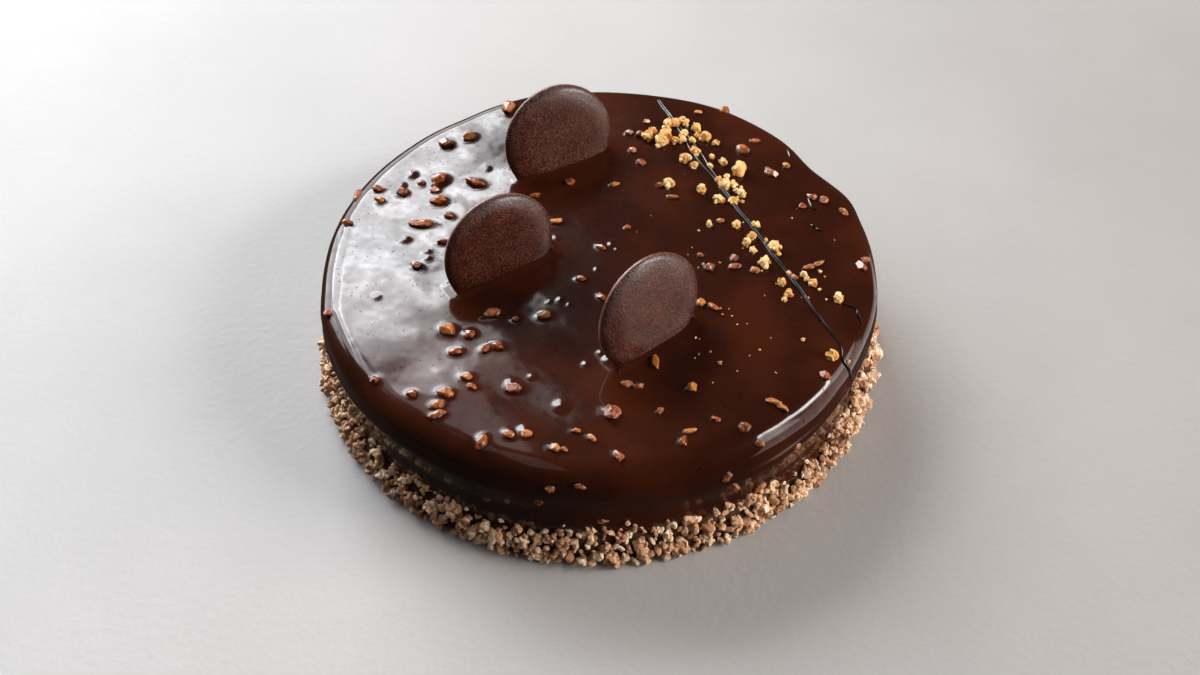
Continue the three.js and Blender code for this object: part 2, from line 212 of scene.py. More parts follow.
def knobbly(ball, rng, knobs, width, swell):        # a lump of many small round knobs
    near = (ball @ directions(rng, knobs).T).max(axis=1)
    height = np.sqrt(np.clip((near - math.cos(width)) / (1 - math.cos(width)), 0, 1))
    return ball * (1 - swell + swell * height)[:, None]


def boxy(ball, power):           # a ball pushed out towards its eight corners
    return np.sign(ball) * np.abs(ball) ** power


def knobblyChip(ball, rng, form):
    knobs = knobbly(ball, rng, form["knobs"], form["knobWidth"], form["knobSwell"])
    return chopped(knobs, rng, form["cuts"], form["nearestCut"], form["furthestCut"])


lumpForm = {
    "squareness": 0.75,     # 1 leaves the ball round
    "knobs": 7,
    "knobWidth": 0.75,      # radians
    "knobSwell": 0.22,
    "cuts": 8,
    "nearestCut": 0.45,     # from the middle, as a share of the radius
    "furthestCut": 0.9,
    "fullest": 0.76,        # half width, as a share of the size
    "floorGap": 0.05,
}


def roughLump(rng, kind, size, middle, shade, flattest=0.3):
    ball, faces = balls[kind]
    shape = knobblyChip(boxy(ball, lumpForm["squareness"]), rng, lumpForm)
    halves = rng.uniform(flattest, lumpForm["fullest"], 3) * size
    shape = shape * halves @ randomTurn(rng) + middle
    shape[:, 2] = np.maximum(shape[:, 2], lumpForm["floorGap"])
    return {"points": shape, "faces": faces, "marks": {"shade": shade}}


# Materials

def tone(red, green, blue):       # a colour as seen on a screen, made linear
    channels = [channel / 255 for channel in (red, green, blue)]
    return [c / 12.92 if c <= 0.04045 else ((c + 0.055) / 1.055) ** 2.4 for c in channels] + [1.0]


class Wire:       # a node's output that sums and products can be written with
    def __init__(self, finish, socket):
        self.finish = finish
        self.socket = socket

    def maths(self, operation, first, second):
        return self.finish.node("ShaderNodeMath", {"operation": operation}, {0: first, 1: second})

    def __add__(self, other):
        return self.maths("ADD", self, other)

    def __radd__(self, other):
        return self.maths("ADD", other, self)

    def __sub__(self, other):
        return self.maths("SUBTRACT", self, other)

    def __rsub__(self, other):
        return self.maths("SUBTRACT", other, self)

    def __mul__(self, other):
        return self.maths("MULTIPLY", self, other)

    def __rmul__(self, other):
        return self.maths("MULTIPLY", other, self)


class Finish:     # one material and the nodes that make it
    def __init__(self, name, **constants):
        self.material = bpy.data.materials.new(name)
        self.material.use_nodes = True
        self.tree = self.material.node_tree
        self.shader = self.tree.nodes["Principled BSDF"]
        for socket, value in constants.items():
            self.shader.inputs[socket.replace("_", " ")].default_value = value
        self.place = self.node("ShaderNodeTexCoord", {}, {}, "Object")

    def node(self, kind, settings, values, output=0):
        made = self.tree.nodes.new(kind)
        for key, value in settings.items():
            setattr(made, key, value)
        for key, value in values.items():
            if isinstance(value, Wire):
                self.tree.links.new(value.socket, made.inputs[key])
            else:
                made.inputs[key].default_value = value
        return Wire(self, made.outputs[output])

    def grain(self, size, detail=2.0, rough=0.5):   # size in millimetres
        values = {"Vector": self.place, "Scale": 1 / (size * mm), "Detail": detail,
                  "Roughness": rough}
        return self.node("ShaderNodeTexNoise", {}, values)

    def flatCells(self, size):      # distance to the nearest of many points, seen from above
        return self.node("ShaderNodeTexVoronoi", {"voronoi_dimensions": "2D"},
                         {"Vector": self.place, "Scale": 1 / (size * mm)})

    def between(self, value, low, high, start=0.0, end=1.0):   # a soft step
        settings = {"interpolation_type": "SMOOTHSTEP"}
        return self.node("ShaderNodeMapRange", settings,
                         {"Value": value, 1: low, 2: high, 3: start, 4: end})

    def mix(self, share, first, second):
        return self.node("ShaderNodeMix", {"data_type": "RGBA"}, {0: share, 6: first, 7: second}, 2)

    def height(self):             # millimetres above the foot
        return self.node("ShaderNodeSeparateXYZ", {}, {0: self.place}, 2) * 1000

    def mark(self, name):
        return self.node("ShaderNodeAttribute", {"attribute_name": name}, {}, "Fac")

    def bump(self, value, depth, under=None):   # depth in millimetres
        values = {"Height": value, "Distance": depth * mm}
        if under:
            values["Normal"] = under
        return self.node("ShaderNodeBump", {}, values)

    def feed(self, **wires):
        for socket, wire in wires.items():
            self.tree.links.new(wire.socket, self.shader.inputs[socket.replace("_", " ")])
        return self.material


glazeLook = {
    "dark": tone(44, 16, 7),
    "red": tone(60, 24, 10),
    "hole": tone(14, 5, 4),
    "holeSpacing": 3.9,     # millimetres
    "holeSize": 0.08,       # share of the spacing
}


def glazeFinish():
    finish = Finish("pouredGlaze", IOR=1.5, Specular_IOR_Level=0.02, Coat_IOR=1.5,
                    Coat_Roughness=0.08)
    cloud = finish.between(finish.grain(30, 3), 0.35, 0.65)
    brown = finish.mix(cloud, glazeLook["dark"], glazeLook["red"])
    onTop = finish.between(finish.height(), shoulder, shoulder + 3)
    hole = finish.between(finish.flatCells(glazeLook["holeSpacing"]),
                          glazeLook["holeSize"] * 0.5, glazeLook["holeSize"], 1.0, 0.0) * onTop
    hole = hole * finish.between(finish.grain(7, 3), 0.49, 0.55)     # here and there only
    veil = finish.between(finish.grain(12, 3), 0.3, 0.7, 0.66, 0.94)
    mottled = finish.between(finish.grain(2.6, 3), 0.3, 0.7, -0.07, 0.07)
    skin = finish.bump(finish.grain(1.1, 1), 0.012, finish.bump(finish.grain(5, 2), 0.05))
    return finish.feed(
        Base_Color=finish.mix(hole, brown, glazeLook["hole"]),
        Roughness=finish.grain(11, 2) * 0.14 + 0.2,
        Coat_Weight=(veil + mottled) * (1 - hole),
        Normal=finish.bump(1 - hole, 0.12, skin),
    )


nutLook = {
    "amber": tone(176, 88, 28),
    "deep": tone(84, 33, 10),
    "pale": tone(218, 140, 68),
    "skirt": tone(40, 14, 6),
}


def nutFinish():
    finish = Finish("glazedNut", Roughness=0.35, Coat_Weight=0.8, Coat_Roughness=0.1, IOR=1.5)
    patch = finish.between(finish.grain(1.3, 4), 0.36, 0.62)
    body = finish.mix(patch, nutLook["deep"], nutLook["amber"])
    lighter = finish.mix(finish.mark("shade"), body, nutLook["pale"])
    bare = finish.between(finish.mark("rise") + patch * 0.1, 0.06, 0.4)
    return finish.feed(
        Base_Color=finish.mix(bare, nutLook["skirt"], lighter),
        Normal=finish.bump(finish.grain(0.7, 3), 0.42),
    )


def crumbFinish(name, dark, middle, light, speck):
    finish = Finish(name, Roughness=0.85, IOR=1.4)
    shade = finish.mark("shade")
    low = finish.mix(finish.between(shade, 0.0, 0.6), dark, middle)
    body = finish.mix(finish.between(shade, 0.45, 1.0), low, light)
    toasted = finish.between(finish.grain(0.9, 3), 0.56, 0.70)
    rough = finish.grain(0.4, 4, 0.7)
    return finish.feed(
        Base_Color=finish.mix(toasted * 0.55, body, speck),
        Roughness=rough * 0.3 + 0.65,
        Normal=finish.bump(rough, 0.3, finish.bump(finish.grain(1.2, 2), 0.4)),
    )


discLook = {
    "body": tone(60, 24, 15),
    "fleck": tone(108, 59, 42),
    "pore": tone(33, 13, 8),
    "border": tone(46, 18, 11),
    "rim": tone(116, 60, 34),
}


def discFinish():
    finish = Finish("grainedChocolate", IOR=1.5, Specular_IOR_Level=0.5, Coat_Roughness=0.26)
    coarse = finish.grain(0.72, 2, 0.6)
    fine = finish.grain(0.38, 2, 0.6)
    cloud = finish.grain(8, 3)
    inField = finish.between(finish.mark("reach"), 0.88, 0.96, 1.0, 0.0)
    onFace = finish.between(finish.mark("reach"), 0.74, 0.96, 1.0, 0.0)
    atRim = finish.between(finish.mark("reach"), 0.985, 1.0)
    grain = coarse * 0.5 + fine * 0.5
    flecks = finish.between(grain + cloud * 0.2, 0.59, 0.69)
    pores = finish.between(grain, 0.40, 0.48, 1.0, 0.0)
    light = finish.mix(flecks * 0.8, discLook["body"], discLook["fleck"])
    field = finish.mix(pores * 0.8, light, discLook["pore"])
    border = finish.mix(flecks * 0.5, discLook["border"], discLook["fleck"])
    return finish.feed(
        Base_Color=finish.mix(atRim, finish.mix(inField, border, field), discLook["rim"]),
        Roughness=finish.between(coarse, 0.4, 0.65, 0.22, 0.36),
        Coat_Weight=finish.between(fine, 0.4, 0.6, 0.15, 1.0) * (1 - onFace * 0.6),
        Normal=finish.bump((coarse * 0.6 + fine * 0.5) * (1.6 - onFace), 0.34),
    )


podLook = {
    "dark": tone(6, 4, 3),
    "brown": tone(22, 15, 12),
}


def podFinish():
    finish = Finish("driedPod", Roughness=0.5, Specular_IOR_Level=0.1, Coat_Weight=0.9,
                    Coat_IOR=1.7, Coat_Roughness=0.06)
    fibre = finish.grain(0.7, 3)
    return finish.feed(
        Base_Color=finish.mix(fibre, podLook["dark"], podLook["brown"]),
        Normal=finish.bump(fibre, 0.2),
    )


# The floor is pale on the window side and painted grey away from it: painted shade, as the light falls
# off
floorLook = {
    "pale": (tone(197, 196, 196), tone(204, 203, 203)),
    "grey": (tone(145, 140, 136), tone(151, 146, 142)),
    "towards": (1.0, -0.1, 0.0),      # the side on which it turns grey
}


def floorFinish():
    finish = Finish("paleFloor", Roughness=0.7, Specular_IOR_Level=0.2)
    cloud = finish.between(finish.grain(140, 5, 0.6), 0.3, 0.7)
    across = finish.node("ShaderNodeVectorMath", {"operation": "DOT_PRODUCT"},
                         {0: finish.place, 1: floorLook["towards"]}, 1)
    pale, grey = [finish.mix(cloud, *floorLook[side]) for side in ("pale", "grey")]
    # painted shade: the colour turns grey across the floor, away from the window light
    return finish.feed(
        Base_Color=finish.mix(finish.between(across, -0.45, 0.5), pale, grey),
        Normal=finish.bump(finish.grain(3, 3), 0.2),
    )


# Where the small things lie

nuts = {
    "lift": 0.16,           # share of its width that a nut's middle lies above the glaze
    "halves": (0.6, 0.62, 0.462),   # half length, width and height, as shares of both sizes
    "knobs": 8,
    "knobWidth": 0.9,       # radians
    "knobSwell": 0.24,
    "cuts": 9,
    "nearestCut": 0.5,
    "furthestCut": 0.85,
    "spots": [              # x, y, length, width, direction in degrees
        (-34, 85, 7, 5, 70), (-58, 64, 5.5, 4.5, 0), (-49, 68, 5, 4, 30), (-59, 44, 6, 5, 30),
        (-61, 41, 3, 2.5, 30), (-46, 42, 7.5, 4, -15), (-66, 42, 3, 2, -30), (-82, 39, 4.5, 3, 5),
        (-73, 37, 4.5, 3.5, -10), (-61, 38, 3.5, 2.5, 0), (-59, 32, 6, 4, 5), (-81, 33, 4, 3, -30),
        (-64, 20, 9.5, 3.5, 0), (-55, 24, 4.5, 2.5, -30), (-92, 21, 4.5, 3, -30), (-56, 10, 5, 2.5, 0),
        (-65, -2, 4.5, 3, -30), (-90, 38, 6.5, 3, 85), (-95, -23, 3.5, 3, 0), (-37, -26, 6.5, 3.5, 5),
        (-29, -29, 2.5, 2, 0), (-52, -34, 6, 4.5, -20), (-45, -36, 4, 3.5, 0), (-49, -44, 4.5, 3, 5),
        (-39, -43, 4, 2.5, 40), (-35, -42, 5, 3, -20), (-19, -28, 4.5, 3.5, 0), (-23, 34, 4, 2.5, 0),
        (-15, 20, 5, 3, 0), (-10, 41, 4, 3, -15), (7, 40, 4.5, 2, 20), (11, 16, 2.5, 2, -15),
        (1, 6, 4, 2, -30), (24, 39, 3, 2.5, 0), (28, 32, 5, 2, 0), (1, -19, 4.5, 2.5, -50),
        (-6, -10, 4.5, 2.5, 0), (51, 84, 4, 3.5, 30), (40, 81, 3.5, 2, 0), (20, 76, 3, 2, 15),
        (13, 69, 3.5, 2.5, 15), (17, 68, 3.5, 3, -15), (14, 59, 3, 2.5, 0), (17, 52, 4, 2.5, -45),
        (56, 58, 5.5, 4, 0), (61, 63, 4.5, 2, 0), (66, 45, 6.5, 3.5, -50), (72, 49, 3, 2.5, 0),
        (80, 31, 4.5, 2.5, -30), (84, 29, 3.5, 3, -15), (76, 26, 3, 2.5, 0), (91, 23, 4, 2.5, -60),
        (45, 19, 3, 2, 0), (37, 1, 2.5, 2, 0), (40, -5, 4, 3.5, 50), (49, -1, 3.5, 3, 0),
        (49, -5, 4.5, 2.5, 15), (56, -7, 4.5, 3, -15), (79, -4, 5.5, 2, 30), (75, -6, 4.5, 2.5, 15),
        (70, -11, 3, 2.5, 0), (94, -6, 5, 3, -65), (96, -2, 3.5, 3, 0), (36, -23, 3.5, 3, 10),
        (40, -25, 5, 2.5, -35), (58, -69, 5.5, 2.5, -15), (60, -71, 5.5, 2.5, -55),
        (76, -57, 4, 3, -50), (47, -80, 4.5, 3.5, -15), (38, -76, 3, 2.5, -25),
        (52, -84, 4, 2.5, -15), (19, -51, 6.5, 3, -85),
        (9, -60, 4, 2.5, -20), (13, -61, 4, 2.5, 5), (31, -62, 4, 3.5, 25), (20, -72, 3, 2.5, 5),
        (4, -73, 8, 5, -50), (-8, -80, 3, 2, 0), (-3, -83, 3.5, 2.5, -40), (29, -81, 5, 2, 20),
        (27, -85, 4.5, 3, 80), (6, -91, 5, 3, -60), (-15, -87, 4, 3, -25), (-12, -88, 2.5, 2, 0),
        (-76, -56, 3.5, 3, 0), (-63, -63, 3.5, 3, 0), (-52, -63, 6, 4, 0), (-54, -68, 5.5, 3.5, 25),
        (-54, -72, 6, 3, 25), (-45, -56, 4, 3, 0), (-43, -60, 3.5, 2, -35), (-29, -61, 5.5, 3.5, 0),
        (-30, -81, 4, 3, -35), (-24, -81, 4, 3, 0), (-39, -84, 6.5, 4, 65),
    ],
    "buried": [             # x, y, size of nuts that only show as swellings of the glaze
        (-41.5, 50, 2.2), (-61.7, 5.5, 2.2), (-61.5, 2, 2.2), (-78, -17, 2.2), (-26.5, 39.5, 1.8),
        (-13.5, -20, 1.8), (-17.5, -21, 1.2), (-10.5, -22.5, 1), (5, 7.5, 2.2), (7, 5, 1.5),
        (-23, -56, 2.2), (-4.5, -50.5, 2.5), (-13, -69, 4.4), (-25, -79, 3.3), (34, 45, 1.5),
        (-15, 11.5, 1.8), (-40.5, -27.5, 1.8), (0.5, -45.5, 2.2), (-70, 12, 3.3), (-73.5, 41, 3.3),
        (-70, 47, 3.6), (-0.5, -5, 1.5), (38.5, -3, 1.8), (54, 0.5, 2.2), (55.5, -68.5, 1.5),
        (74.5, -58.5, 1.5), (48, -91, 1.8), (-30, -58.5, 2.9),
    ],
}
sideNuts = {
    "seed": 35,
    "sink": 0.4,
    "halves": (0.34, 0.66, 0.5),
    "shown": [              # azimuth in degrees, height, size
        (-129, 18, 3.4), (-112.5, 24, 3.4), (-99.6, 38, 4), (-94, 40, 4), (-102, 30, 3.4),
        (-89.8, 20.5, 3.6), (-65.4, 33, 5), (-64.2, 25.5, 6.5), (-49, 29.5, 3.8), (-57.3, 17.5, 5.2),
    ],
    "far": 11,              # spread over the rest of the side
    "farFrom": -20,
    "farSweep": 235,
    "farLow": 19,
    "farHigh": 35,
}
crumbs = {
    "seed": 23,
    "flatness": 0.85,
    "lift": 0.22,
    "spots": [              # x, y, size
        (28, 74, 4.5), (31, 74, 4.5), (34, 76, 3), (35, 74, 3.5), (39, 71, 4.5), (22, 70, 3),
        (20, 66, 5), (27, 69, 4.5), (26, 64, 6.5), (30, 64, 3.5), (24, 61, 2.5), (34, 68, 3.5),
        (33, 64, 4),
        (37, 64, 3), (42, 65, 5), (39, 67, 2.5), (46, 62, 3), (38, 57, 4.5), (37, 60, 1.5),
        (34, 53, 5), (37, 49, 3.5), (44, 54, 2.5), (43, 49, 2.5), (48, 51, 3.5), (54, 46, 6),
        (49, 43, 2.5), (46, 41, 3), (48, 38, 5), (51, 38, 3.5), (52, 35, 2.5), (54, 33, 4),
        (54, 37, 1.5), (39, 36, 4.5), (45, 30, 4.5), (47, 30, 2), (51, 29, 4), (54, 29, 1.5),
        (27, 39, 5), (41, 17, 3), (51, 16, 3.5), (58, 16, 3.5), (56, 10, 4), (54, 7, 4), (56, 3, 3),
        (61, 8, 2), (64, 4, 5.5), (65, 1, 2), (59, -4, 5.5), (68, -9, 2), (73, -10, 3), (74, -12, 2),
        (76, -14, 3.5), (79, -8, 1.5), (78, -17, 1.5), (65, -14, 3.5), (67, -19, 3.5), (65, -22, 2.5),
        (84, -22, 4.5), (80, -22, 1), (70, -41, 1.5), (79, -49, 4.5), (85, -49, 1.5), (41, -51, 1.5),
    ],
    "coreSize": 0.78,
    "lobes": 13,            # small lumps grown onto each crumb
    "lobeReach": 0.66,
    "specks": 56,           # finest crumbs, strewn over the front and right of the top
    "speckMiddle": (46, -16),
    "speckSpread": (20, 28),
    "speckReach": 92,
    "tones": [tone(206, 130, 58), tone(248, 200, 128), tone(255, 236, 186), tone(190, 108, 42)],
}


def nutPlaces():
    return [
        {"x": x, "y": y, "long": long, "wide": wide, "turn": math.radians(turn)}
        for x, y, long, wide, turn in nuts["spots"]
    ]


def crumbPlaces():
    draw = makeDraws(crumbs["seed"])
    places = []
    for x, y, size in crumbs["spots"]:
        stretch = 1 + 0.3 * draw()
        places.append({"x": x, "y": y, "long": size * stretch, "wide": size / math.sqrt(stretch),
                       "turn": draw() * math.pi})
    return places


def sideNutPlaces():
    draw = makeDraws(sideNuts["seed"])
    places = [{"azimuth": azimuth, "z": z, "size": size} for azimuth, z, size in sideNuts["shown"]]
    for i in range(sideNuts["far"]):
        share = (i * goldenAngle) / (math.pi * 2) % 1
        places.append({
            "azimuth": sideNuts["farFrom"] + sideNuts["farSweep"] * share,
            "z": sideNuts["farLow"] + (sideNuts["farHigh"] - sideNuts["farLow"]) * draw(),
            "size": 3.4 + 1.8 * draw(),
        })
    return places


discs = {
    "radius": 21.5,
    "edge": 1.2,
    "dome": 3.0,
    "shoulderOut": 0.31,     # the dome's profile: powers of a cosine and a sine
    "shoulderUp": 1.67,
    "segments": 128,
    "rows": 26,
    "places": {
        "discBack": {"node": "chocolate_disc_back", "x": -14.6, "y": 56,
                     "pressed": 11.2, "yaw": 25, "tilt": 16},
        "discLeft": {"node": "chocolate_disc_left", "x": -35.4, "y": -2,
                     "pressed": 12.4, "yaw": 31, "tilt": 11},
        "discFront": {"node": "chocolate_disc_front", "x": 16.6, "y": -37.9,
                      "pressed": 8.2, "yaw": 39, "tilt": 11},
    },
}


# The glaze: a turned skin, moved to the poured outline, swollen over nuts and round discs

skin = {
    "segments": 640,
    "sideRows": 50,
    "rollRows": 24,
    "topRows": 140,
    "dimple": 0.04,      # broad unevenness of the top
    "drape": 0.28,       # unevenness of the side
    "skirt": 0.1,        # rise round a nut, as a share of its width
    "skirtReach": 0.42,  # how far it reaches, as a share of the nut, and past that
    "skirtEdge": 0.45,
    "swell": 0.1,        # rise over a buried nut, as a share of its size
    "swellReach": 0.4,
    "swellEdge": 0.3,
    "meniscus": 0.9,     # rise of the glaze against a disc
    "meniscusWidth": 1.6,
    "farRise": 0.06,     # and further off
    "farWidth": 5,
}


def discLift(x, y):      # glaze drawn up against each disc
    lift = np.zeros_like(x)
    for place in discs["places"].values():
        yaw = math.radians(place["yaw"])
        radius = discs["radius"]
        half = math.sqrt(radius ** 2 - (radius - place["pressed"]) ** 2)
        along = (x - place["x"]) * math.cos(yaw) + (y - place["y"]) * math.sin(yaw)
        across = (x - place["x"]) * math.sin(yaw) - (y - place["y"]) * math.cos(yaw)
        middle = (discs["edge"] + discs["dome"]) / 2 + 1
        thick = np.maximum(np.abs(across - middle) - middle, 0)
        away = np.hypot(np.maximum(np.abs(along) - half, 0), thick)
        lift += skin["meniscus"] * np.exp(-((away / skin["meniscusWidth"]) ** 2))
        lift += skin["farRise"] * np.exp(-((away / skin["farWidth"]) ** 2))
    return lift


def nutLift(x, y):
    lift = np.zeros_like(x)
    for place in nutPlaces():
        c, s = math.cos(place["turn"]), math.sin(place["turn"])
        reachLong, reachWide = [place[side] * skin["skirtReach"] + skin["skirtEdge"]
                                for side in ("long", "wide")]
        along = ((x - place["x"]) * c + (y - place["y"]) * s) / reachLong
        across = ((y - place["y"]) * c - (x - place["x"]) * s) / reachWide
        lift += skin["skirt"] * place["wide"] * np.exp(-along * along - across * across)
    for nutX, nutY, size in nuts["buried"]:
        away = np.hypot(x - nutX, y - nutY) / (size * skin["swellReach"] + skin["swellEdge"])
        lift += skin["swell"] * size * np.exp(-away * away)
    return lift


def glazeProfile():
    rim = cake["rimRadius"]
    profile = [(0, 0), (rim * 0.5, 0), (rim - 1, 0)]
    profile += [(rim, shoulder * i / skin["sideRows"]) for i in range(skin["sideRows"] + 1)]
    for i in range(1, skin["rollRows"] + 1):
        roll = math.pi / 2 * i / skin["rollRows"]
        profile.append((innerRadius + cake["rollWidth"] * math.cos(roll),
                        shoulder + cake["rollDrop"] * math.sin(roll)))
    profile += [(innerRadius * i / skin["topRows"], cake["height"])
                for i in range(skin["topRows"] - 1, -1, -1)]
    return profile


def pourGlaze(points):
    x, y, z = points.T
    angle = np.arctan2(y, x)
    scale = sideRadius(angle, np.minimum(z, shoulder)) / cake["rimRadius"]
    x, y = x * scale, y * scale
    up = np.clip((z - shoulder) / cake["rollDrop"], 0, 1)
    flow = np.stack([x, y, z], 1)
    lift = topWave(x, y) + skin["dimple"] * ripples(flow, 9, 3) + 0.012 * ripples(flow, 3.2, 8)
    lift += nutLift(x, y) + discLift(x, y)
    sag = ripples(flow * [1, 1, 0.6], 14, 21) * skin["drape"] * smoothStep(z, 2, 14) * (1 - up)
    x += sag * np.cos(angle)
    y += sag * np.sin(angle)
    return np.stack([x, y, z + lift * up], 1)


addPiece(toMesh("glazeSkin", spinProfile(glazeProfile(), skin["segments"]), pourGlaze),
         glazeFinish(), ["glazed_cake"])


# Chopped nuts, held in the glaze

def makeNuts():
    rng = np.random.default_rng(5)
    ball, faces = balls["fine"]
    lumps = []
    for place in nutPlaces():
        wide = place["wide"]
        shape = knobblyChip(ball, rng, nuts) * nuts["halves"] * [place["long"], wide, wide]
        up = wide * nuts["lift"]
        base = surfaceHeight(place["x"], place["y"])
        lumps.append({
            "points": shape @ turnZ(place["turn"]) + [place["x"], place["y"], base + up],
            "faces": faces,
            "marks": {"rise": (shape[:, 2] + up) / wide, "shade": rng.uniform(0, 1) ** 3},
        })
    for place in sideNutPlaces():
        azimuth, size = math.radians(place["azimuth"]), place["size"]
        shape = knobblyChip(ball, rng, nuts) * sideNuts["halves"] * size
        out = sideRadius(azimuth, place["z"]) - sideNuts["sink"]
        middle = [out * math.cos(azimuth), out * math.sin(azimuth), place["z"]]
        lumps.append({
            "points": shape @ turnZ(azimuth) + middle,
            "faces": faces,
            "marks": {"rise": shape[:, 0] / size, "shade": rng.uniform(0, 0.5)},
        })
    return joinLumps("choppedNuts", lumps)


addPiece(makeNuts(), nutFinish())


# Golden crumbs, dry, lying on the glaze and on the pod

def makeCrumbs():
    rng = np.random.default_rng(8)
    lumps = []
    for place in crumbPlaces():
        wide = place["wide"]
        half = np.array([place["long"], wide, wide * crumbs["flatness"]]) * 0.5
        base = surfaceHeight(place["x"], place["y"]) + wide * crumbs["lift"]
        middle = np.array([place["x"], place["y"], base])
        shade = rng.uniform(0.3, 0.7)
        lumps.append(roughLump(rng, "middle", wide * crumbs["coreSize"], middle, shade, 0.5))
        for way in directions(rng, crumbs["lobes"]):
            lobe = wide * rng.uniform(0.22, 0.5)
            point = (way * half * crumbs["lobeReach"]) @ turnZ(place["turn"]) + middle
            lobeShade = np.clip(shade + rng.uniform(-0.5, 0.5), 0, 1)
            lumps.append(roughLump(rng, "coarse", lobe, point, lobeShade, 0.4))
    for i in range(crumbs["specks"]):
        x, y = rng.normal(crumbs["speckMiddle"], crumbs["speckSpread"])
        size = rng.uniform(0.5, 0.9)
        if math.hypot(x, y) < crumbs["speckReach"]:
            middle = [x, y, surfaceHeight(x, y) + 0.15]
            lumps.append(roughLump(rng, "coarse", size, middle, rng.uniform(0, 0.7)))
    return joinLumps("goldenCrumbs", lumps)


addPiece(makeCrumbs(), crumbFinish("goldenCrumb", *crumbs["tones"]), smooth=False)


# Chocolate discs: flat behind, domed in front, standing in the glaze

def discProfile():
    radius, edge, dome = discs["radius"], discs["edge"], discs["dome"]
    profile = [(0, 0), (radius * 0.5, 0), (radius - 0.5, 0), (radius - 0.15, 0.15)]
    profile.append((radius, edge * 0.5))
    for i in range(discs["rows"] + 1):
        swing = math.pi / 2 * i / discs["rows"]
        out = radius * math.cos(swing) ** discs["shoulderOut"] if i < discs["rows"] else 0
        profile.append((out, edge + dome * math.sin(swing) ** discs["shoulderUp"]))
    return profile


def makeDisc(name, place, number):
    lean, yaw = math.radians(place["tilt"]), math.radians(place["yaw"])
    up = cake["height"] - place["pressed"] + discs["radius"] * math.cos(lean)
    turned = Matrix.Rotation(yaw, 4, "Z") @ Matrix.Rotation(math.pi / 2 - lean, 4, "X")
    stand = Matrix.Translation((place["x"], place["y"], up)) @ turned

    def settle(points):
        radius = np.hypot(points[:, 0], points[:, 1])
        front = smoothStep(points[:, 2], discs["edge"] * 0.5, discs["edge"] + 1)
        groove = np.exp(-(((radius - discs["radius"] * 0.86) / 0.7) ** 2))
        points[:, 2] += front * (0.16 * ripples(points, 9, number * 7) - 0.03 * groove)
        points[:, :2] *= (1 + 0.006 * ripples(points, 12, number * 5))[:, None]
        matrix = np.array(stand)
        return points @ matrix[:3, :3].T + matrix[:3, 3]

    bm = spinProfile(discProfile(), discs["segments"])
    reach = np.array([math.hypot(corner.co.x, corner.co.y) for corner in bm.verts])
    reach = reach / discs["radius"]
    mesh = toMesh(name, bm, settle)
    attribute = mesh.attributes.new("reach", "FLOAT", "POINT")
    attribute.data.foreach_set("value", reach.astype(np.float32))
    return mesh


discChocolate = discFinish()
for number, (name, place) in enumerate(discs["places"].items()):
    addPiece(makeDisc(name, place, number), discChocolate, [place["node"]])


# Vanilla pod: two dry halves side by side, along the top and down the side

pod = {
    "onTop": [(25, 88.5), (35, 65), (49, 32), (58.5, 11), (68, -10), (77, -31), (83, -45)],
    "azimuth": -30.8,
    "foot": 18,
    "lift": 0.42,
    "halfWidth": 0.33,
    "apart": 0.42,          # from the pod's middle to each half's
    "spread": 1.0,          # further apart where the halves part, near the back
    "spreadAt": 0.195,
    "steps": 120,
    "flecks": [         # small broken bits of pod that lie on the glaze
        [(73.3, 58.6), (73.6, 56.2), (73.9, 54)],
        [(78.5, 30.3), (78.9, 28), (79.8, 25.2), (80.9, 24.2)],
        [(78.2, 16.1), (79.3, 14.6)],
        [(79.9, 14), (81.6, 12.8)],
        [(86.2, -24.2), (88.2, -25.2), (90, -26.4), (90.4, -29.2), (91.7, -32.5)],
    ],
}


def podPoints():
    lift = pod["lift"]
    points = [(x, y, surfaceHeight(x, y) + lift) for x, y in pod["onTop"]]
    azimuth = math.radians(pod["azimuth"])
    inner = sideRadius(azimuth, shoulder) - cake["rollWidth"]
    outward = []
    for roll in (38, 64):
        turn = math.radians(roll)
        outward.append((inner + (cake["rollWidth"] + lift) * math.sin(turn),
                        shoulder + (cake["rollDrop"] + lift) * math.cos(turn)))
    for z in (shoulder - 1, (shoulder + pod["foot"]) / 2 + 3, pod["foot"] + 4, pod["foot"]):
        outward.append((sideRadius(azimuth, z) + lift, z))
    points += [(out * math.cos(azimuth), out * math.sin(azimuth), z) for out, z in outward]
    return [Vector(point) for point in points]


def smoothPath(points, steps):     # a centripetal curve through the points, evenly stepped
    ends = [points[0] * 2 - points[1], *points, points[-1] * 2 - points[-2]]
    dense = []
    for a, b, c, d in zip(ends, ends[1:], ends[2:], ends[3:]):
        t1 = (b - a).length ** 0.5
        t2 = t1 + (c - b).length ** 0.5
        t3 = t2 + (d - c).length ** 0.5
        for i in range(24):
            t = t1 + (t2 - t1) * i / 24
            ab = a.lerp(b, t / t1)
            bc = b.lerp(c, (t - t1) / (t2 - t1))
            cd = c.lerp(d, (t - t2) / (t3 - t2))
            abc = ab.lerp(bc, t / t2)
            bcd = bc.lerp(cd, (t - t1) / (t3 - t1))
            dense.append(abc.lerp(bcd, (t - t1) / (t2 - t1)))
    dense.append(points[-1])
    lengths = np.cumsum([0] + [(q - p).length for p, q in zip(dense, dense[1:])])
    wanted = np.linspace(0, lengths[-1], steps)
    axes = [np.interp(wanted, lengths, [point[i] for point in dense]) for i in range(3)]
    return [Vector(point) for point in zip(*axes)]


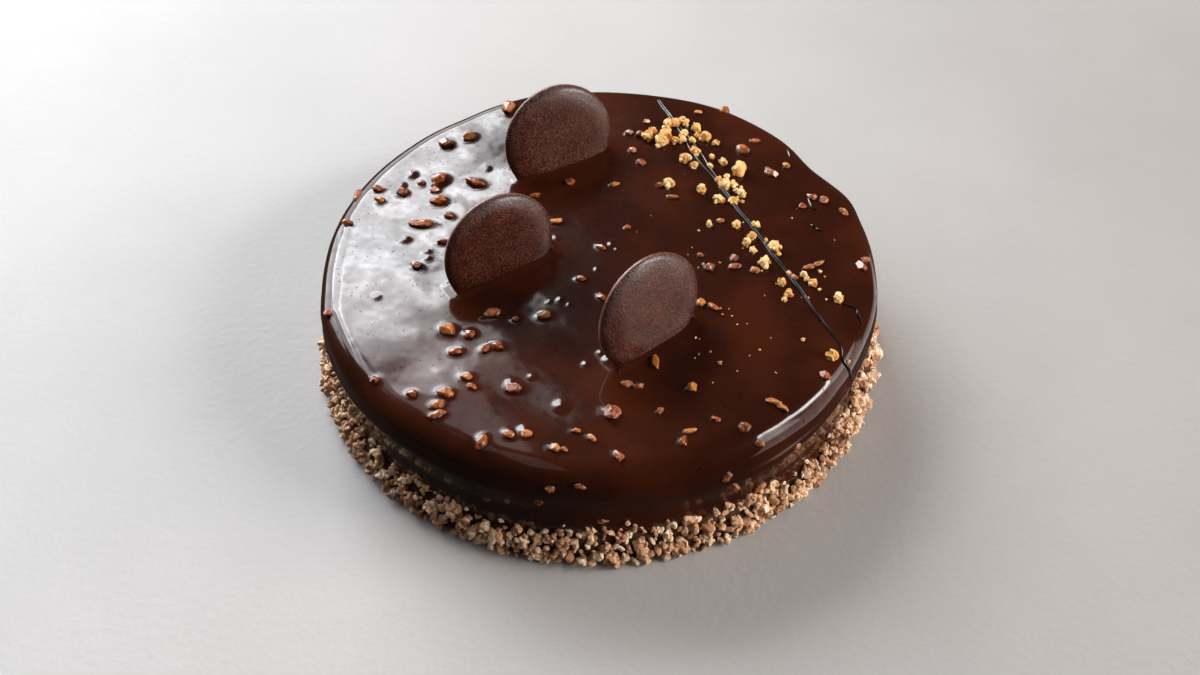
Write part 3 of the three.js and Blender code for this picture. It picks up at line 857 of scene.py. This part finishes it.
def strandMesh(name, strands):      # strands are lists of (point, radius)
    curve = bpy.data.curves.new(name, "CURVE")
    curve.dimensions = "3D"
    curve.bevel_depth = 1.0
    curve.bevel_resolution = 3
    curve.use_fill_caps = True
    for strand in strands:
        spline = curve.splines.new("POLY")
        spline.points.add(len(strand) - 1)
        for knot, (point, radius) in zip(spline.points, strand):
            knot.co = (*point, 1)
            knot.radius = radius
    holder = bpy.data.objects.new(name + "Curve", curve)
    bpy.context.scene.collection.objects.link(holder)
    evaluated = holder.evaluated_get(bpy.context.evaluated_depsgraph_get())
    mesh = bpy.data.meshes.new_from_object(evaluated)
    bpy.data.objects.remove(holder)
    mesh.name = name
    points = readPoints(mesh)
    mesh.vertices.foreach_set("co", (points * mm).ravel())
    return mesh


def outwardAt(point):               # away from the glaze: up on the top, out at the side
    out = Vector((point.x, point.y, 0)).normalized()
    share = min(max((math.hypot(point.x, point.y) - innerRadius) / cake["rollWidth"], 0), 1)
    return (Vector((0, 0, 1)) * (1 - share) + out * share).normalized()


def makePod():
    path = smoothPath(podPoints(), pod["steps"])
    strands = [[], []]
    for i, point in enumerate(path):
        share = i / (len(path) - 1)
        ahead = path[min(i + 1, len(path) - 1)] - path[max(i - 1, 0)]
        across = ahead.cross(outwardAt(point)).normalized()
        apart = pod["apart"] + pod["spread"] * math.exp(-((share - pod["spreadAt"]) / 0.065) ** 2)
        overEdge = float(smoothStep(share, 0.62, 0.78))
        apart -= 0.26 * overEdge
        wander = 0.14 * math.sin(share * 37) + 0.1 * math.sin(share * 83)
        taper = min(1, 0.45 + share * 8, 0.3 + (1 - share) * 5) * (1 - 0.2 * overEdge)
        for side, strand in zip((-1, 1), strands):
            aside = side * apart + wander
            width = pod["halfWidth"] * taper * (1 + 0.14 * math.sin(share * 60 + side))
            strand.append((point + across * aside, width))
    return strandMesh("vanillaPod", strands)


def makeFlecks():
    strands = []
    for bit in pod["flecks"]:
        path = smoothPath([Vector((x, y, surfaceHeight(x, y) + 0.25)) for x, y in bit], 14)
        widths = [0.45 - 0.25 * abs(i / 6.5 - 1) ** 2 for i in range(len(path))]
        strands.append(list(zip(path, widths)))
    return strandMesh("podFlecks", strands)


driedPod = podFinish()
addPiece(makePod(), driedPod, ["vanilla_pod"])
addPiece(makeFlecks(), driedPod)


# Crumble ring: a rough core painted dark as shade, chunks and small grains pressed into the foot of
# the glaze

band = {
    "height": 13.0,
    "inset": 3.0,
    "profile": [(3.8, 0), (4.2, 3.4), (3.9, 7), (2.9, 10.2), (0.8, 13)],   # out, up
    "coreInset": 1.9,
    "chunks": 240,
    "lobes": 9,             # smaller lumps grown onto each chunk
    "grains": 1800,
    "strays": 40,
    "seed": 77,
    "tones": [tone(176, 126, 94), tone(226, 182, 144), tone(252, 228, 198), tone(154, 100, 68)],
    # the core's dark tones are painted shade for the gaps between chunks and grains
    "paintedShadeTones": [tone(74, 46, 28), tone(96, 62, 40), tone(120, 82, 54), tone(60, 36, 22)],
}


def bandOut(z):
    levels = [up for _, up in band["profile"]] + [19]
    return np.interp(z, levels, [out for out, _ in band["profile"]] + [0.2])


def bandTop(angle):       # the ring's ragged upper edge
    return band["height"] + 1.2 + 1.5 * np.sin(5 * angle + 2.2) + 1.1 * np.sin(11 * angle + 0.4)


def makeCore():
    rim = cake["rimRadius"]
    inside = rim - band["inset"]
    profile = [(inside, 0)]
    levels = np.linspace(0, band["height"], 14)
    profile += [(rim + bandOut(z) - band["coreInset"], z) for z in levels]
    profile += [(inside, band["height"]), (inside, 0)]

    def crumple(points):
        x, y, z = points.T
        angle = np.arctan2(y, x)
        scale = sideRadius(angle, z) / rim
        scale = scale + (0.9 * ripples(points, 2.1, 5) + 0.5 * ripples(points, 1.1, 9)) / rim
        stretch = (bandTop(angle) - band["height"]) * z / 18
        up = z + smoothStep(z, 1, 4) * (ripples(points, 2.6, 31) + stretch)
        return np.stack([x * scale, y * scale, up], 1)

    return toMesh("crumbleCore", spinProfile(profile, 420), crumple)


def bandPlace(i, rng, size):      # a place on the ring's face, spread evenly
    angle = i * goldenAngle + rng.uniform(-0.02, 0.02)
    top = float(bandTop(angle))
    z = size * 0.42 + (top - size * 0.3) * ((i * 0.7548777 + 0.31) % 1)
    return angle, z, float(sideRadius(angle, z) + bandOut(z))


def makeChunks():
    rng = np.random.default_rng(band["seed"])
    lumps = []
    for i in range(band["chunks"]):
        size = 3.4 + 3.2 * rng.uniform() ** 1.2
        angle, z, out = bandPlace(i, rng, size)
        out += rng.uniform(-0.8, 0.5) - size * 0.15
        middle = np.array([out * math.cos(angle), out * math.sin(angle), z])
        shade = rng.uniform(0.1, 0.95)
        lumps.append(roughLump(rng, "coarse", size * 0.75, middle, shade))
        for way in directions(rng, band["lobes"]):
            lobe = size * rng.uniform(0.28, 0.52)
            reach = way * (size * 0.44 - lobe * 0.2)
            lobeShade = np.clip(shade + rng.uniform(-0.3, 0.3), 0, 1)
            lumps.append(roughLump(rng, "coarse", lobe, middle + reach, lobeShade))
    return joinLumps("crumbleChunks", lumps)


def makeGrains():
    rng = np.random.default_rng(band["seed"] + 1)
    lumps = []
    for i in range(band["grains"]):
        size = 1.5 + 1.9 * rng.uniform() ** 1.5
        angle, z, out = bandPlace(i, rng, size)
        out += rng.uniform(-0.8, 0.3) - size * 0.16
        middle = [out * math.cos(angle), out * math.sin(angle), z]
        lumps.append(roughLump(rng, "coarse", size, middle, rng.uniform()))
    for i in range(band["strays"]):
        size = rng.uniform(1.2, 2.8)
        angle = i * goldenAngle
        z = float(bandTop(angle)) + rng.uniform(0, 4.5)
        out = float(sideRadius(angle, z)) + size * 0.2
        middle = [out * math.cos(angle), out * math.sin(angle), z]
        lumps.append(roughLump(rng, "coarse", size, middle, rng.uniform()))
    return joinLumps("crumbleGrains", lumps)


bakedFinish = crumbFinish("bakedCrumble", *band["tones"])
# the core's finish is painted shade: dark where the gaps of the ring lie in shadow
paintedShadeFinish = crumbFinish("crumbleCorePaintedShade", *band["paintedShadeTones"])
addPiece(makeCore(), paintedShadeFinish, ["crumble_band"])
addPiece(makeChunks(), bakedFinish, smooth=False)
addPiece(makeGrains(), bakedFinish, smooth=False)


# Floor, lights and camera

daylight = (0.94, 0.97, 1.0)
skyTint = (0.95, 0.96, 1.0)
warmTint = (1.0, 0.94, 0.9)

stage = {
    "floorReach": 7.0,        # metres
    "floorSides": 192,
    "worldTone": (0.045, 0.04, 0.036, 1.0),
    # azimuths from +Y clockwise, elevations, in degrees; distance; radiance; colour; slant
    "panels": {
        "windowMain": ((-48, -8.5), (24, 46), 1.9, 13.0, daylight),
        "windowStrip": ((-8.5, -5), (26, 42), 1.9, 8.0, daylight),
        "windowStep": ((-12.3, -9.5), (44.9, 47.5), 1.86, 8.0, daylight),
        "windowWide": ((-62, -46), (26, 46), 1.94, 5.0, daylight),
        "windowHigh": ((-60, -34), (44, 53), 1.84, 5.0, skyTint),
        "windowLow": ((-66, -38), (-3, 30), 1.88, 5.0, daylight),
        "windowSill": ((-40, -9), (-2, 28), 1.92, 3.0, daylight),
        "windowLeft": ((-37, -11.4), (44.5, 48), 1.88, 7.5, skyTint),
        "windowTop": ((-38, -10.8), (44.5, 50.8), 1.89, 5.0, skyTint),
        "windowUpper": ((-11.4, -7), (46, 49), 1.9, 2.6, skyTint),
        "windowFade": ((-48, -5), (48.5, 56), 1.9, 1.3, (0.97, 0.95, 0.98)),
        "overhead": ((-180, 0), (72, 84), 2.0, 0.5, (1.0, 0.98, 0.96)),
        "rightEdge": ((80, 116), (30, 38.5), 1.7, 19.0, (1.0, 0.96, 0.94), -40),
        "rightSoft": ((70, 116), (21, 37), 1.75, 3.0, (1.0, 0.93, 0.9), -40),
        "rightTail": ((109, 124), (6, 37), 1.72, 3.0, warmTint),
        "rightInner": ((112, 122), (14, 37), 1.74, 2.0, warmTint),
        "rightGlow": ((72, 124), (-36, 20), 1.8, 1.3, (1.0, 0.85, 0.8)),
        "rightFar": ((44, 72), (-38, -8), 1.82, 1.1, (1.0, 0.88, 0.84)),
    },
    "unseen": {       # panels that light the cake but are not mirrored in it
        "leftFill": ((-115, -64), (30, 62), 2.0, 0.9, (0.97, 0.98, 1.0)),
        "rightFill": ((76, 140), (0, 30), 1.6, 2.8, (1.0, 0.94, 0.86)),
    },
}


def addPanel(name, azimuths, elevations, distance, radiance, colour, slant=0):
    turn, rise = math.radians(sum(azimuths) / 2), math.radians(sum(elevations) / 2)
    wide = math.radians(azimuths[1] - azimuths[0]) * math.cos(rise)
    tall = math.radians(elevations[1] - elevations[0])
    lamp = bpy.data.lights.new(name, "AREA")
    lamp.shape = "RECTANGLE"
    lamp.size = 2 * distance * math.tan(wide / 2)
    lamp.size_y = 2 * distance * math.tan(tall / 2)
    lamp.energy = radiance * math.pi * lamp.size * lamp.size_y
    lamp.color = colour
    panel = bpy.data.objects.new(name, lamp)
    way = Vector((math.sin(turn) * math.cos(rise), math.cos(turn) * math.cos(rise), math.sin(rise)))
    panel.location = way * distance
    facing = way.to_track_quat("Z", "Y") @ Quaternion((0, 0, 1), math.radians(slant))
    panel.rotation_euler = facing.to_euler()
    bpy.context.scene.collection.objects.link(panel)
    return panel


def addFloor():
    bm = bmesh.new()
    bmesh.ops.create_circle(bm, cap_ends=True, segments=stage["floorSides"],
                            radius=stage["floorReach"])
    bmesh.ops.recalc_face_normals(bm, faces=bm.faces)
    mesh = bpy.data.meshes.new("floor")
    bm.to_mesh(mesh)
    bm.free()
    mesh.materials.append(floorFinish())
    floor = bpy.data.objects.new("floor", mesh)
    floor.visible_glossy = False      # a pale floor would grey the dark side of the glaze
    floor.visible_diffuse = False
    bpy.context.scene.collection.objects.link(floor)


def addWorld():
    world = bpy.data.worlds.new("dimRoom")
    world.use_nodes = True
    world.node_tree.nodes["Background"].inputs["Color"].default_value = stage["worldTone"]
    bpy.context.scene.world = world


cameraView = {
    "focal": 1700,            # pixels in a picture 1200 wide
    "pictureWidth": 1200,
    "sensor": 36.0,
    "elevation": 47.177,
    "roll": -0.897,
    "distance": 618.466,      # millimetres from the point looked at
    "target": (0.338, -15.794, 20.0),
}


def addCamera():
    camera = bpy.data.cameras.new("camera")
    camera.sensor_width = cameraView["sensor"]
    camera.lens = cameraView["focal"] / cameraView["pictureWidth"] * cameraView["sensor"]
    camera.clip_start = 0.01
    holder = bpy.data.objects.new("camera", camera)
    rise = math.radians(cameraView["elevation"])
    back = Vector((0, -math.cos(rise), math.sin(rise))) * cameraView["distance"]
    place = Matrix.Translation((Vector(cameraView["target"]) + back) * mm)
    roll = Matrix.Rotation(math.radians(cameraView["roll"]), 4, "Z")
    tilt = Matrix.Rotation(math.pi / 2 - rise, 4, "X") @ roll
    holder.matrix_world = place @ tilt
    bpy.context.scene.collection.objects.link(holder)
    bpy.context.scene.camera = holder


addFloor()
addWorld()
for name, panel in stage["panels"].items():
    addPanel(name, *panel)
for name, panel in stage["unseen"].items():
    addPanel(name, *panel).visible_glossy = False
addCamera()
bpy.context.scene.view_settings.view_transform = "Standard"
print("stage set")
